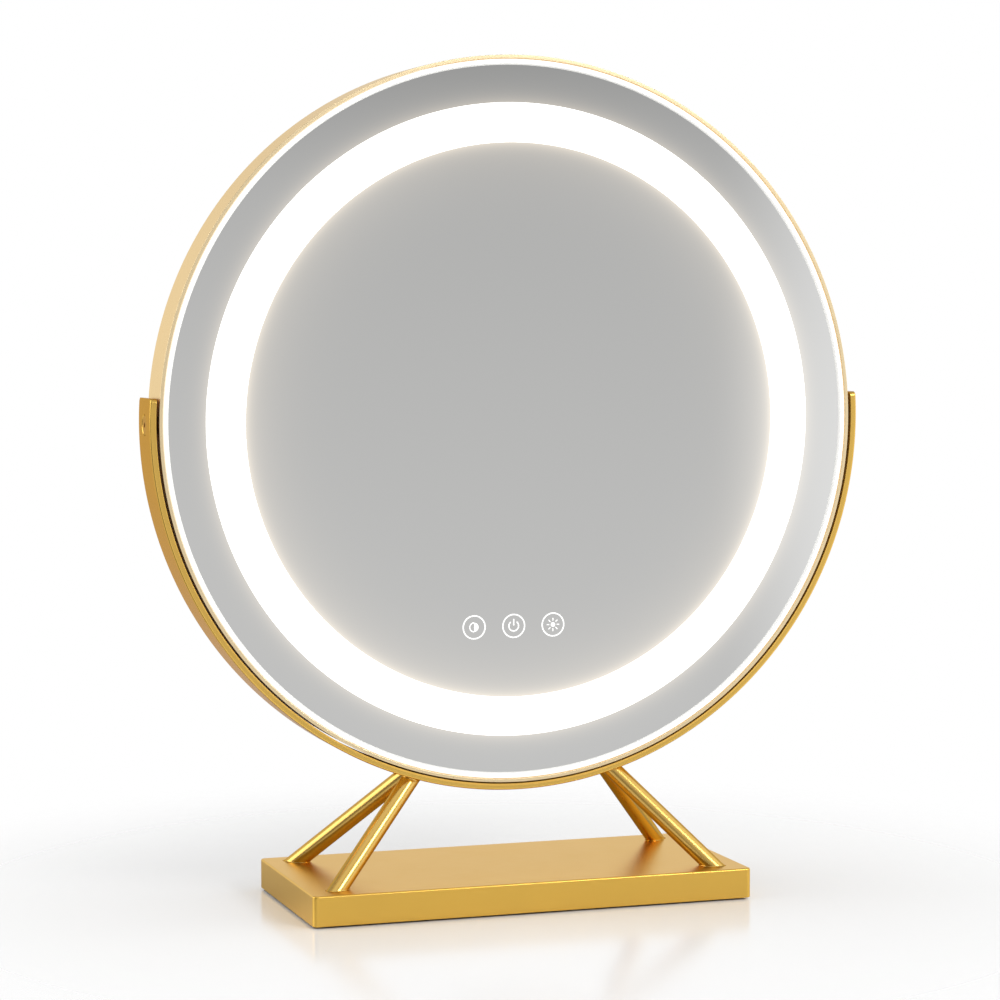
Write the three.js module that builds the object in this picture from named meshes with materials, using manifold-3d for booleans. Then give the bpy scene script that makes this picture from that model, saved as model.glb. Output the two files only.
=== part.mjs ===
// Tabletop vanity mirror: a round lit mirror head that tilts between the ends of a half-ring yoke,
// held up by four slanted rods on a weighted base.
// Millimetres. +Z is up, -Y is the front, and the origin is the middle of the face the feet rest on.
// The head's pieces are drawn about its own centre, with the head's axis along Y.

import * as THREE from 'three';
import { mergeVertices } from 'three/addons/utils/BufferGeometryUtils.js';
import Module from 'manifold-3d';

const wasm = await Module();
wasm.setup();

// ---- Driving dimensions ----

const GAP = 0.3; // clearance kept between neighbouring pieces
const RING_STEPS = 72; // facets round each full ring of the head
const SMALL_STEPS = 12; // facets round screws, feet and other small round pieces

// Where the head and the yoke sit over the base
const HEAD_Y = -9;
const HEAD_Z = 275;

// Base: a pressed cover with a steel weight inside, closed by a plate underneath
const BASE_WIDTH = 260;
const BASE_DEPTH = 120;
const BASE_TOP = 18;
const BASE_RIM = 1; // height of the cover's lower edge
const BASE_CORNER = 3;
const BASE_WALL = 1.6;
const WEIGHT_THICKNESS = 7;
const WEIGHT_INSET = 5; // from the outside of the cover to the weight's edge
const BOTTOM_PLATE_LOW = 2;
const BOTTOM_PLATE_THICKNESS = 1.5;
const FOOT_RADIUS = 7;
const FOOT_HEIGHT = 1.8;
const FOOT_X = 112;
const FOOT_Y = 44;
const BOSS_X = 86;
const BOSS_Y = 36;
const BOSS_RADIUS = 4;
const BOTTOM_SCREW_RADIUS = 1.7;
const BOTTOM_SCREW_HEAD = 3.2;

// Legs: round rods from the base's corners to the underside of the yoke
const LEG_RADIUS = 5;
const LEG_FOOT_X = 112;
const LEG_FOOT_Y = 44.5;
const LEG_TOP_X = 60;
const LEG_TOP_SPREAD = 5.5; // from the yoke's mid-plane to each rod's axis at the top

// Yoke: a flat band bent to a half ring, with its ends a little above the tilt axis
const YOKE_INNER = 207.4;
const YOKE_OUTER = 211;
const YOKE_WIDTH = 30;
const YOKE_LIFT = 0.8; // from the tilt axis up to the ring's centre
const YOKE_END_RISE = THREE.MathUtils.degToRad(3.8);

// Tilt pivot: shoulder bolt, friction washer, block and nut on each side
const PIVOT_RADIUS = 3;
const PIVOT_HEAD_RADIUS = 5.6;
const PIVOT_HEAD_THICKNESS = 1.2;
const PIVOT_TIP = 186.6; // how near the bolt's end comes to the head's centre
const WASHER_RADIUS = 5.5;
const PIVOT_BLOCK = { inner: 192, outer: 200.2, front: -5.2, back: 9, height: 18 };
const NUT_RADIUS = 5.8;
const NUT_THICKNESS = 4.6;

// Head: hoop, white housing, mirror glass and back cover; Y runs from front (-) to back (+)
const HOOP_OUTER = 205.8;
const HOOP_INNER = 203.8;
const HOOP_HALF_DEPTH = 15;
const HOUSING_OUTER = 203.5;
const HOUSING_FRONT = -12.8;
const HOUSING_BACK = 10.4;
const HOUSING_WALL = 2;
const GLASS_RADIUS = 201;
const GLASS_FRONT = -12.6;
const GLASS_THICKNESS = 4;
const LEDGE_INNER = 196;
const LEDGE_THICKNESS = 2.8;
const COVER_RADIUS = 203.4;
const COVER_THICKNESS = 2;
const COVER_STEP_RADIUS = 188;
const COVER_STEP_RUN = 5;
const COVER_STEP_HEIGHT = 3;
const COVER_SCREWS = 6;
const COVER_SCREW_CIRCLE = 197.6;
const COVER_BOSS_RADIUS = 3.4;
const COVER_SCREW_RADIUS = 1.2;
const COVER_SCREW_HEAD = 2.8;

// Light: a ring channel behind the frosted band of the glass, with a strip of light chips in it
const CHANNEL_INNER = 150;
const CHANNEL_OUTER = 186;
const CHANNEL_WALL = 1.8;
const CHANNEL_FRONT = -6;
const CHANNEL_BACK = 5.6;
const DIFFUSER_THICKNESS = 2;
const STRIP_INNER = 161;
const STRIP_OUTER = 175;
const STRIP_THICKNESS = 1.1;
const CHIP_COUNT = 36;
const CHIP_SIZE = 5;
const CHIP_HEIGHT = 1.4;

// Electronics inside the head
const TOUCH_HEIGHT = -116.6; // the touch keys' height from the head's centre
const TOUCH_SPACING = 23.7;
const TOUCH_BOARD = { width: 72, height: 20, thickness: 1.4 };
const TOUCH_PAD_RADIUS = 7;
const DRIVER_BOARD = { width: 72, height: 50, thickness: 1.6, back: 9.6, centre: -60 };
const JACK_HEIGHT = -132;
const JACK_RADIUS = 4;
const JACK_BORE = 3;
const JACK_PIN = 1;
const JACK_FLANGE_RADIUS = 6.5;
const JACK_DEPTH = 12;
const JACK_NUT_RADIUS = 6.4;
const JACK_NUT_THICKNESS = 2.2;
const LEAD_RADIUS = 1;

// ---- Materials ----

function finish(color, roughness, metalness) {
  return () => new THREE.MeshStandardMaterial({ color, roughness, metalness });
}

const gold = finish(0xd9ab52, 0.32, 1);
const steel = finish(0x9a9a9a, 0.4, 1);
const blackSteel = finish(0x2a2a2a, 0.6, 0.4);
const rubber = finish(0x1c1c1c, 0.9, 0);
const darkNylon = finish(0x2b2115, 0.55, 0);
const whitePlastic = finish(0xf4f4f2, 0.45, 0);
const silvered = finish(0xc9c9c9, 0.05, 1);
const circuitBoard = finish(0x1f5a3a, 0.5, 0);
const blackPlastic = finish(0x151515, 0.4, 0);
const leadSheath = finish(0xb01818, 0.5, 0);

// ---- Building blocks ----

// Merges shared vertices and drops the triangles that shrink to nothing on a lathe's axis.
function closed(geometry) {
  geometry.deleteAttribute('normal');
  geometry.deleteAttribute('uv');
  const merged = mergeVertices(geometry);
  const corners = merged.index.array;
  const kept = [];
  for (let i = 0; i < corners.length; i += 3) {
    const [a, b, c] = [corners[i], corners[i + 1], corners[i + 2]];
    if (a !== b && b !== c && c !== a) kept.push(a, b, c);
  }
  merged.setIndex(kept);
  return merged;
}

function toSolid(geometry) {
  const mesh = closed(geometry);
  return new wasm.Manifold(new wasm.Mesh({
    numProp: 3,
    vertProperties: new Float32Array(mesh.attributes.position.array),
    triVerts: new Uint32Array(mesh.index.array),
  }));
}

function toGeometry(solid) {
  const mesh = solid.getMesh();
  const geometry = new THREE.BufferGeometry();
  geometry.setAttribute('position', new THREE.BufferAttribute(mesh.vertProperties, 3));
  geometry.setIndex(new THREE.BufferAttribute(mesh.triVerts, 1));
  geometry.computeVertexNormals();
  return geometry;
}

function add(group, name, geometry, material) {
  const mesh = new THREE.Mesh(geometry, material());
  mesh.name = name;
  group.add(mesh);
  return mesh;
}

// A solid of revolution about Y from [radius, y] points, taken anticlockwise.
function lathed(outline, steps) {
  return new THREE.LatheGeometry(outline.map(([radius, y]) => new THREE.Vector2(radius, y)), steps);
}

function ring(inner, outer, low, high, steps = RING_STEPS) {
  return lathed([[inner, low], [outer, low], [outer, high], [inner, high], [inner, low]], steps);
}

function disc(radius, low, high, steps = SMALL_STEPS) {
  return lathed([[0, low], [radius, low], [radius, high], [0, high]], steps);
}

// A round bar that stands along Z between two heights.
function upright(radius, low, high) {
  return disc(radius, low, high).rotateX(Math.PI / 2);
}

function box(width, depth, height, x, y, z) {
  return new THREE.BoxGeometry(width, depth, height).translate(x, y, z);
}

// A flat plate with rounded corners, lying on the plan between two heights.
function roundedPlate(width, depth, corner, low, high) {
  const [x, y] = [width / 2, depth / 2];
  const outline = new THREE.Shape();
  outline.absarc(x - corner, y - corner, corner, 0, Math.PI / 2);
  outline.absarc(corner - x, y - corner, corner, Math.PI / 2, Math.PI);
  outline.absarc(corner - x, corner - y, corner, Math.PI, Math.PI * 1.5);
  outline.absarc(x - corner, corner - y, corner, Math.PI * 1.5, Math.PI * 2);
  const options = { depth: high - low, bevelEnabled: false, curveSegments: 3 };
  return new THREE.ExtrudeGeometry(outline, options).translate(0, 0, low);
}

// A round screw about Y with its head at the top and a recess in the head.
function screw(shankRadius, headRadius, tip, shoulder, top) {
  const socketRadius = headRadius * 0.4;
  const socketFloor = top - (top - shoulder) * 0.6;
  return lathed([
    [0, tip], [shankRadius, tip], [shankRadius, shoulder], [headRadius, shoulder],
    [headRadius, top], [socketRadius, top], [socketRadius, socketFloor], [0, socketFloor],
  ], SMALL_STEPS);
}

function fourCorners(x, y) {
  return [
    { name: 'front_left', x: -x, y: -y },
    { name: 'front_right', x, y: -y },
    { name: 'back_left', x: -x, y },
    { name: 'back_right', x, y },
  ];
}

const SIDES = [{ name: 'left', sign: -1 }, { name: 'right', sign: 1 }];

// ---- Base ----

const PLATE_TOP = BOTTOM_PLATE_LOW + BOTTOM_PLATE_THICKNESS;
const bosses = fourCorners(BOSS_X, BOSS_Y);

// A plate of the base's outline, drawn in by an inset all round, between two heights.
function insetPlate(inset, low, high) {
  const corner = Math.max(BASE_CORNER - inset, 1);
  return roundedPlate(BASE_WIDTH - 2 * inset, BASE_DEPTH - 2 * inset, corner, low, high);
}

function baseShell() {
  const ceiling = BASE_TOP - BASE_WALL;
  const outside = insetPlate(0, BASE_RIM, BASE_TOP);
  let shell = toSolid(outside).subtract(toSolid(insetPlate(BASE_WALL, 0, ceiling)));
  for (const { x, y } of bosses) {
    const post = toSolid(upright(BOSS_RADIUS, PLATE_TOP + GAP, BASE_TOP - BASE_WALL / 2).translate(x, y, 0));
    const hole = toSolid(upright(BOTTOM_SCREW_RADIUS + GAP, 0, ceiling - 1).translate(x, y, 0));
    shell = shell.add(post).subtract(hole);
  }
  return toGeometry(shell);
}

function counterweight() {
  const high = BASE_TOP - BASE_WALL - GAP;
  let plate = toSolid(insetPlate(WEIGHT_INSET, high - WEIGHT_THICKNESS, high));
  for (const { x, y } of bosses) {
    plate = plate.subtract(toSolid(upright(BOSS_RADIUS + 2 * GAP, 0, BASE_TOP).translate(x, y, 0)));
  }
  return toGeometry(plate);
}

function bottomPlate() {
  let plate = toSolid(insetPlate(BASE_WALL + GAP, BOTTOM_PLATE_LOW, PLATE_TOP));
  for (const { x, y } of bosses) {
    plate = plate.subtract(toSolid(upright(BOTTOM_SCREW_RADIUS + GAP, 0, BASE_TOP).translate(x, y, 0)));
  }
  return toGeometry(plate);
}

function addBase(group) {
  add(group, 'base_shell', baseShell(), gold);
  add(group, 'counterweight', counterweight(), steel);
  add(group, 'bottom_plate', bottomPlate(), blackSteel);
  for (const { name, x, y } of bosses) {
    const headTop = -(BOTTOM_PLATE_LOW - 0.1);
    const fastener = screw(BOTTOM_SCREW_RADIUS, BOTTOM_SCREW_HEAD, -(BASE_TOP - 4), headTop, headTop + 1.1);
    add(group, `bottom_screw_${name}`, fastener.rotateX(-Math.PI / 2), steel).position.set(x, y, 0);
  }
  for (const { name, x, y } of fourCorners(FOOT_X, FOOT_Y)) {
    add(group, `foot_${name}`, upright(FOOT_RADIUS, 0, FOOT_HEIGHT), rubber).position.set(x, y, 0);
  }
}

// ---- Legs and yoke ----

// Each rod is cut off level over the base, by the yoke's curve, and by the plane between the pair.
function leg(footX, footY) {
  const end = Math.sign(footY); // -1 for a front rod, 1 for a back one
  const drop = Math.sqrt(YOKE_OUTER ** 2 - LEG_TOP_X ** 2);
  const foot = new THREE.Vector3(footX, footY, BASE_TOP);
  const topX = Math.sign(footX) * LEG_TOP_X;
  const top = new THREE.Vector3(topX, HEAD_Y + end * LEG_TOP_SPREAD, HEAD_Z + YOKE_LIFT - drop);
  const along = top.clone().sub(foot);
  const spare = 4 * LEG_RADIUS; // extra length at each end, for the cuts
  const rod = new THREE.CylinderGeometry(LEG_RADIUS, LEG_RADIUS, along.length() + 2 * spare, 24);
  const drawnAlong = new THREE.Vector3(0, 1, 0);
  rod.applyQuaternion(new THREE.Quaternion().setFromUnitVectors(drawnAlong, along.normalize()));
  rod.translate(...foot.add(top).multiplyScalar(0.5));
  const roomY = HEAD_Y + end * (BASE_DEPTH + GAP) / 2;
  const room = box(BASE_WIDTH, BASE_DEPTH, HEAD_Z, 0, roomY, HEAD_Z / 2 + BASE_TOP + GAP);
  const reach = YOKE_OUTER + GAP;
  const yokeBody = new THREE.CylinderGeometry(reach, reach, BASE_DEPTH, 2 * RING_STEPS);
  yokeBody.translate(0, HEAD_Y, HEAD_Z + YOKE_LIFT);
  return toGeometry(toSolid(rod).intersect(toSolid(room)).subtract(toSolid(yokeBody)));
}

function addLegs(group) {
  for (const { name, x, y } of fourCorners(LEG_FOOT_X, LEG_FOOT_Y)) {
    add(group, `leg_${name}`, leg(x, y), gold);
  }
}

function yoke() {
  const [start, end] = [Math.PI - YOKE_END_RISE, 2 * Math.PI + YOKE_END_RISE];
  const band = new THREE.Shape();
  band.absarc(0, 0, YOKE_OUTER, start, end, false);
  band.absarc(0, 0, YOKE_INNER, end, start, true);
  const half = new THREE.ExtrudeGeometry(band, { depth: YOKE_WIDTH, bevelEnabled: false, curveSegments: 24 });
  half.rotateX(Math.PI / 2).translate(0, YOKE_WIDTH / 2, YOKE_LIFT);
  let solid = toSolid(half);
  for (const { sign } of SIDES) {
    const hole = disc(PIVOT_RADIUS + GAP, YOKE_INNER - 5, YOKE_OUTER + 5);
    const recess = disc(PIVOT_HEAD_RADIUS + GAP, YOKE_OUTER - PIVOT_HEAD_THICKNESS - 2 * GAP, YOKE_OUTER + 5);
    solid = solid.subtract(toSolid(hole.rotateZ(-sign * Math.PI / 2)));
    solid = solid.subtract(toSolid(recess.rotateZ(-sign * Math.PI / 2)));
  }
  return toGeometry(solid);
}

function hexNut(low, high) {
  const bore = disc(PIVOT_RADIUS + GAP, low - 1, high + 1);
  return toGeometry(toSolid(disc(NUT_RADIUS, low, high, 6)).subtract(toSolid(bore)));
}

function addPivots(group) {
  const shoulder = YOKE_OUTER - PIVOT_HEAD_THICKNESS - GAP;
  const washerLow = HOOP_OUTER + GAP;
  const washerHigh = YOKE_INNER - GAP;
  for (const { name, sign } of SIDES) {
    const bolt = screw(PIVOT_RADIUS, PIVOT_HEAD_RADIUS, PIVOT_TIP, shoulder, YOKE_OUTER - 0.2);
    const washer = ring(PIVOT_RADIUS + GAP, WASHER_RADIUS, washerLow, washerHigh, SMALL_STEPS);
    const nutHigh = PIVOT_BLOCK.inner - GAP;
    const nut = hexNut(nutHigh - NUT_THICKNESS, nutHigh);
    const outwards = -sign * Math.PI / 2;
    add(group, `pivot_bolt_${name}`, bolt, gold).rotation.z = outwards;
    add(group, `pivot_washer_${name}`, washer, darkNylon).rotation.z = outwards;
    add(group, `pivot_nut_${name}`, nut, steel).rotation.z = outwards;
  }
}

// ---- Head ----

function pivotHole() {
  return toSolid(disc(PIVOT_RADIUS + GAP, -HOOP_OUTER - 5, HOOP_OUTER + 5).rotateZ(Math.PI / 2));
}

function hoop() {
  const soft = 0.6; // flat that breaks each outer edge
  const outline = [
    [HOOP_INNER, -HOOP_HALF_DEPTH], [HOOP_OUTER - soft, -HOOP_HALF_DEPTH],
    [HOOP_OUTER, soft - HOOP_HALF_DEPTH], [HOOP_OUTER, HOOP_HALF_DEPTH - soft],
    [HOOP_OUTER - soft, HOOP_HALF_DEPTH], [HOOP_INNER, HOOP_HALF_DEPTH], [HOOP_INNER, -HOOP_HALF_DEPTH],
  ];
  return toGeometry(toSolid(lathed(outline, RING_STEPS)).subtract(pivotHole()));
}

// Places on the circle of cover screws, as [x, z], clear of the pivots.
function coverScrewPlaces() {
  const places = [];
  for (let i = 0; i < COVER_SCREWS; i += 1) {
    const angle = ((i + 0.5) * 2 * Math.PI) / COVER_SCREWS;
    places.push([COVER_SCREW_CIRCLE * Math.cos(angle), COVER_SCREW_CIRCLE * Math.sin(angle)]);
  }
  return places;
}

// White ring that frames the glass, carries it on a ledge and takes the back cover's screws.
function housing() {
  const seat = GLASS_FRONT + GLASS_THICKNESS + GAP;
  const ledgeBack = seat + LEDGE_THICKNESS;
  const wallInner = HOUSING_OUTER - HOUSING_WALL;
  const rimInner = GLASS_RADIUS + GAP;
  let solid = toSolid(lathed([
    [rimInner, HOUSING_FRONT], [HOUSING_OUTER, HOUSING_FRONT], [HOUSING_OUTER, HOUSING_BACK],
    [wallInner, HOUSING_BACK], [wallInner, ledgeBack], [LEDGE_INNER, ledgeBack], [LEDGE_INNER, seat],
    [rimInner, seat], [rimInner, HOUSING_FRONT],
  ], RING_STEPS));
  for (const [x, z] of coverScrewPlaces()) {
    const boss = disc(COVER_BOSS_RADIUS, ledgeBack - 1, HOUSING_BACK).translate(x, 0, z);
    const hole = disc(COVER_SCREW_RADIUS + GAP, ledgeBack + 2, HOUSING_BACK + 5).translate(x, 0, z);
    solid = solid.add(toSolid(boss)).subtract(toSolid(hole));
  }
  return toGeometry(solid.subtract(pivotHole()));
}

function glass() {
  const edge = 0.5; // ground chamfer round the front and the back
  const back = GLASS_FRONT + GLASS_THICKNESS;
  return lathed([
    [0, GLASS_FRONT], [GLASS_RADIUS - edge, GLASS_FRONT], [GLASS_RADIUS, GLASS_FRONT + edge],
    [GLASS_RADIUS, back - edge], [GLASS_RADIUS - edge, back], [0, back],
  ], RING_STEPS);
}

// The cover is flat at its edge, with a raised middle that gives the electronics room.
function backCover() {
  const flange = HOUSING_BACK + GAP;
  const panel = flange + COVER_STEP_HEIGHT;
  const stepOuter = COVER_STEP_RADIUS;
  const stepInner = COVER_STEP_RADIUS - COVER_STEP_RUN;
  let solid = toSolid(lathed([
    [0, panel], [stepInner - 1, panel], [stepOuter - 1, flange], [COVER_RADIUS, flange],
    [COVER_RADIUS, flange + COVER_THICKNESS], [stepOuter, flange + COVER_THICKNESS],
    [stepInner, panel + COVER_THICKNESS], [0, panel + COVER_THICKNESS],
  ], RING_STEPS));
  for (const [x, z] of coverScrewPlaces()) {
    solid = solid.subtract(toSolid(disc(COVER_SCREW_RADIUS + GAP, 0, 30).translate(x, 0, z)));
  }
  solid = solid.subtract(toSolid(disc(JACK_RADIUS + GAP, 0, 30).translate(0, 0, JACK_HEIGHT)));
  return toGeometry(solid);
}

function addCoverScrews(group) {
  const shoulder = HOUSING_BACK + COVER_THICKNESS + 2 * GAP;
  coverScrewPlaces().forEach(([x, z], i) => {
    const fastener = screw(COVER_SCREW_RADIUS, COVER_SCREW_HEAD, shoulder - 9, shoulder, shoulder + 1.6);
    add(group, `cover_screw_${i + 1}`, fastener, blackSteel).position.set(x, 0, z);
  });
}

function pivotBlock() {
  const { inner, outer, front, back, height } = PIVOT_BLOCK;
  const block = box(outer - inner, back - front, height, (inner + outer) / 2, (front + back) / 2, 0);
  return toGeometry(toSolid(block).subtract(pivotHole()));
}

function addShell(group) {
  add(group, 'hoop', hoop(), gold);
  add(group, 'housing', housing(), whitePlastic);
  add(group, 'mirror_glass', glass(), silvered);
  add(group, 'back_cover', backCover(), whitePlastic);
  addCoverScrews(group);
  for (const { name, sign } of SIDES) {
    add(group, `pivot_block_${name}`, pivotBlock(), steel).rotation.y = sign > 0 ? 0 : Math.PI;
  }
}

// ---- Light ----

const LEAD_ENTRY_Z = -75; // where the strip's lead passes the channel's inner wall
const LEAD_ENTRY_Y = 1.4;

function lightChannel() {
  const outerWall = CHANNEL_OUTER - CHANNEL_WALL;
  const innerWall = CHANNEL_INNER + CHANNEL_WALL;
  const floor = CHANNEL_BACK - CHANNEL_WALL;
  const channel = toSolid(lathed([
    [outerWall, CHANNEL_FRONT], [CHANNEL_OUTER, CHANNEL_FRONT], [CHANNEL_OUTER, CHANNEL_BACK],
    [CHANNEL_INNER, CHANNEL_BACK], [CHANNEL_INNER, CHANNEL_FRONT], [innerWall, CHANNEL_FRONT],
    [innerWall, floor], [outerWall, floor], [outerWall, CHANNEL_FRONT],
  ], RING_STEPS));
  const leadHole = disc(LEAD_RADIUS + 2 * GAP, 0, STRIP_INNER).rotateZ(Math.PI / 2);
  return toGeometry(channel.subtract(toSolid(leadHole.translate(0, LEAD_ENTRY_Y, LEAD_ENTRY_Z))));
}

function lightStrip() {
  const back = CHANNEL_BACK - CHANNEL_WALL - GAP;
  const front = back - STRIP_THICKNESS;
  const middle = (STRIP_INNER + STRIP_OUTER) / 2;
  const chipY = front + (STRIP_THICKNESS - CHIP_HEIGHT) / 2;
  let strip = toSolid(ring(STRIP_INNER, STRIP_OUTER, front, back));
  for (let i = 0; i < CHIP_COUNT; i += 1) {
    const chip = box(CHIP_SIZE, CHIP_HEIGHT, CHIP_SIZE, middle, chipY, 0);
    strip = strip.add(toSolid(chip.rotateY((i * 2 * Math.PI) / CHIP_COUNT)));
  }
  return toGeometry(strip);
}

function addLight(group) {
  const diffuserBack = CHANNEL_FRONT - GAP;
  const diffuser = ring(CHANNEL_INNER, CHANNEL_OUTER, diffuserBack - DIFFUSER_THICKNESS, diffuserBack);
  add(group, 'light_diffuser', diffuser, whitePlastic);
  add(group, 'light_channel', lightChannel(), whitePlastic);
  add(group, 'light_strip', lightStrip(), whitePlastic);
}

// ---- Electronics ----

function touchBoard() {
  const { width, height, thickness } = TOUCH_BOARD;
  const front = GLASS_FRONT + GLASS_THICKNESS + GAP;
  const padHeight = 0.5;
  let board = toSolid(box(width, thickness, height, 0, front + padHeight + thickness / 2, TOUCH_HEIGHT));
  for (const i of [-1, 0, 1]) {
    const pad = disc(TOUCH_PAD_RADIUS, front, front + padHeight + thickness / 2);
    board = board.add(toSolid(pad.translate(i * TOUCH_SPACING, 0, TOUCH_HEIGHT)));
  }
  return toGeometry(board);
}

const BOARD_FRONT = DRIVER_BOARD.back - DRIVER_BOARD.thickness;
const SOCKET = { width: 8, depth: 5, height: 6 };
const SOCKET_Z = DRIVER_BOARD.centre - DRIVER_BOARD.height / 2 + SOCKET.height / 2;
const SIDE_SOCKET_X = SOCKET.width / 2 - DRIVER_BOARD.width / 2;

// A circuit board with its coil, capacitor, controller chip and three lead sockets.
function driverBoard() {
  const { width, height, thickness, back, centre } = DRIVER_BOARD;
  const inBoard = thickness / 2;
  const socketY = BOARD_FRONT - SOCKET.depth / 2 + inBoard / 2;
  const socket = (x, z) => box(SOCKET.width, SOCKET.depth + inBoard, SOCKET.height, x, socketY, z);
  const fitted = [
    disc(6, BOARD_FRONT - 7, BOARD_FRONT + inBoard).translate(-14, 0, centre + 10),
    disc(4, BOARD_FRONT - 10, BOARD_FRONT + inBoard).translate(12, 0, centre + 12),
    box(9, 1.6 + inBoard, 9, 14, BOARD_FRONT - 0.8 + inBoard / 2, centre - 6),
    socket(0, SOCKET_Z),
    socket(TOUCH_SPACING, SOCKET_Z),
    socket(SIDE_SOCKET_X, LEAD_ENTRY_Z),
  ];
  let board = toSolid(box(width, thickness, height, 0, back - thickness / 2, centre));
  for (const piece of fitted) board = board.add(toSolid(piece));
  return toGeometry(board);
}

// Panel socket for the low-voltage supply: a flanged barrel, open to the back, with a centre pin.
function powerJack() {
  const face = HOUSING_BACK + COVER_STEP_HEIGHT + COVER_THICKNESS + 2 * GAP;
  const flangeTop = face + 1.2;
  return lathed([
    [0, face - JACK_DEPTH], [JACK_RADIUS, face - JACK_DEPTH], [JACK_RADIUS, face],
    [JACK_FLANGE_RADIUS, face], [JACK_FLANGE_RADIUS, flangeTop], [JACK_BORE, flangeTop],
    [JACK_BORE, flangeTop - 9.5], [JACK_PIN, flangeTop - 9.5], [JACK_PIN, flangeTop - 1], [0, flangeTop - 1],
  ], SMALL_STEPS);
}

function jackNut() {
  const high = HOUSING_BACK + COVER_STEP_HEIGHT;
  return ring(JACK_RADIUS + GAP, JACK_NUT_RADIUS, high - JACK_NUT_THICKNESS, high, SMALL_STEPS);
}

// A two-core lead drawn as one round sheath along a smooth route.
function lead(points) {
  const route = new THREE.CatmullRomCurve3(points.map((point) => new THREE.Vector3(...point)));
  const section = new THREE.Shape();
  section.absarc(0, 0, LEAD_RADIUS, 0, 2 * Math.PI);
  return new THREE.ExtrudeGeometry(section, { steps: 16, curveSegments: 4, extrudePath: route });
}

function addElectronics(group) {
  const socketFace = BOARD_FRONT - SOCKET.depth - GAP;
  const jackEnd = HOUSING_BACK + COVER_STEP_HEIGHT + COVER_THICKNESS + 2 * GAP - JACK_DEPTH - GAP;
  const touchBack = GLASS_FRONT + GLASS_THICKNESS + TOUCH_BOARD.thickness + 0.5 + 2 * GAP;
  add(group, 'touch_board', touchBoard(), circuitBoard);
  add(group, 'driver_board', driverBoard(), circuitBoard);
  add(group, 'power_jack', powerJack(), blackPlastic).position.z = JACK_HEIGHT;
  add(group, 'power_jack_nut', jackNut(), steel).position.z = JACK_HEIGHT;
  const stripSocketFace = SIDE_SOCKET_X - SOCKET.width / 2 - GAP;
  const padsAt = STRIP_INNER - 20; // the strip's solder pads, measured along the lead's level run
  const stripLead = [
    [stripSocketFace, 5, LEAD_ENTRY_Z], [stripSocketFace - 8, 5, LEAD_ENTRY_Z],
    [stripSocketFace - 50, LEAD_ENTRY_Y, LEAD_ENTRY_Z], [-padsAt, LEAD_ENTRY_Y, LEAD_ENTRY_Z],
  ];
  const touchLead = [
    [TOUCH_SPACING, touchBack, TOUCH_HEIGHT + 4], [TOUCH_SPACING, touchBack + 2.5, TOUCH_HEIGHT + 4],
    [TOUCH_SPACING, socketFace - 2.5, SOCKET_Z], [TOUCH_SPACING, socketFace, SOCKET_Z],
  ];
  const jackLead = [
    [0, jackEnd, JACK_HEIGHT], [0, jackEnd - 3, JACK_HEIGHT],
    [0, socketFace - 3, SOCKET_Z], [0, socketFace, SOCKET_Z],
  ];
  add(group, 'strip_lead', lead(stripLead), leadSheath);
  add(group, 'touch_lead', lead(touchLead), leadSheath);
  add(group, 'jack_lead', lead(jackLead), leadSheath);
}

// ---- The whole object ----

const stand = new THREE.Group();
addBase(stand);
addLegs(stand);

const yokeCentre = new THREE.Group();
yokeCentre.position.set(0, HEAD_Y, HEAD_Z);
add(yokeCentre, 'yoke', yoke(), gold);
addPivots(yokeCentre);

const mirrorHead = new THREE.Group();
mirrorHead.position.set(0, HEAD_Y, HEAD_Z);
addShell(mirrorHead);
addLight(mirrorHead);
addElectronics(mirrorHead);

const vanityMirror = new THREE.Group();
vanityMirror.add(stand, yokeCentre, mirrorHead);

export default vanityMirror;
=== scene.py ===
import math

import bmesh
import bpy
from mathutils import Matrix, Vector


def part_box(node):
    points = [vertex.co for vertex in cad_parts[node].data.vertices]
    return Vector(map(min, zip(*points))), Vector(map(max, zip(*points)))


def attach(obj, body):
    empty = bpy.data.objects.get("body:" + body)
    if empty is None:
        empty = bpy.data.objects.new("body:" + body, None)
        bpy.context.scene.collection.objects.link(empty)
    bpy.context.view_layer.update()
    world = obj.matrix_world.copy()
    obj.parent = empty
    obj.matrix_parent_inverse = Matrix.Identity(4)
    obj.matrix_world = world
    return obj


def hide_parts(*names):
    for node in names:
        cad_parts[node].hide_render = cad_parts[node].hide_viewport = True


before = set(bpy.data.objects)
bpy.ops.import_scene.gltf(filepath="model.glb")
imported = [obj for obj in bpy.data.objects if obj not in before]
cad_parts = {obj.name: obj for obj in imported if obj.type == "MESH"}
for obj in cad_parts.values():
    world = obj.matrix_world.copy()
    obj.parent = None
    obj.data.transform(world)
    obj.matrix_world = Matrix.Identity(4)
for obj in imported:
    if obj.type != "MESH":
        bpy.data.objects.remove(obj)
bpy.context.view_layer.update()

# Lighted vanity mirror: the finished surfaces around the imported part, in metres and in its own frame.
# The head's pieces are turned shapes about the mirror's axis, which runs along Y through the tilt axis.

MM = 0.001

# ---- Camera ----

CAMERA_AZIMUTH = math.radians(-18.67)
CAMERA_ELEVATION = math.radians(3.84)
CAMERA_DISTANCE = 1.6987
CAMERA_AIM = Vector((-2.24, 0, 228.84)) * MM
CAMERA_LENS = 106.5
CAMERA_SENSOR = 36


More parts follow.
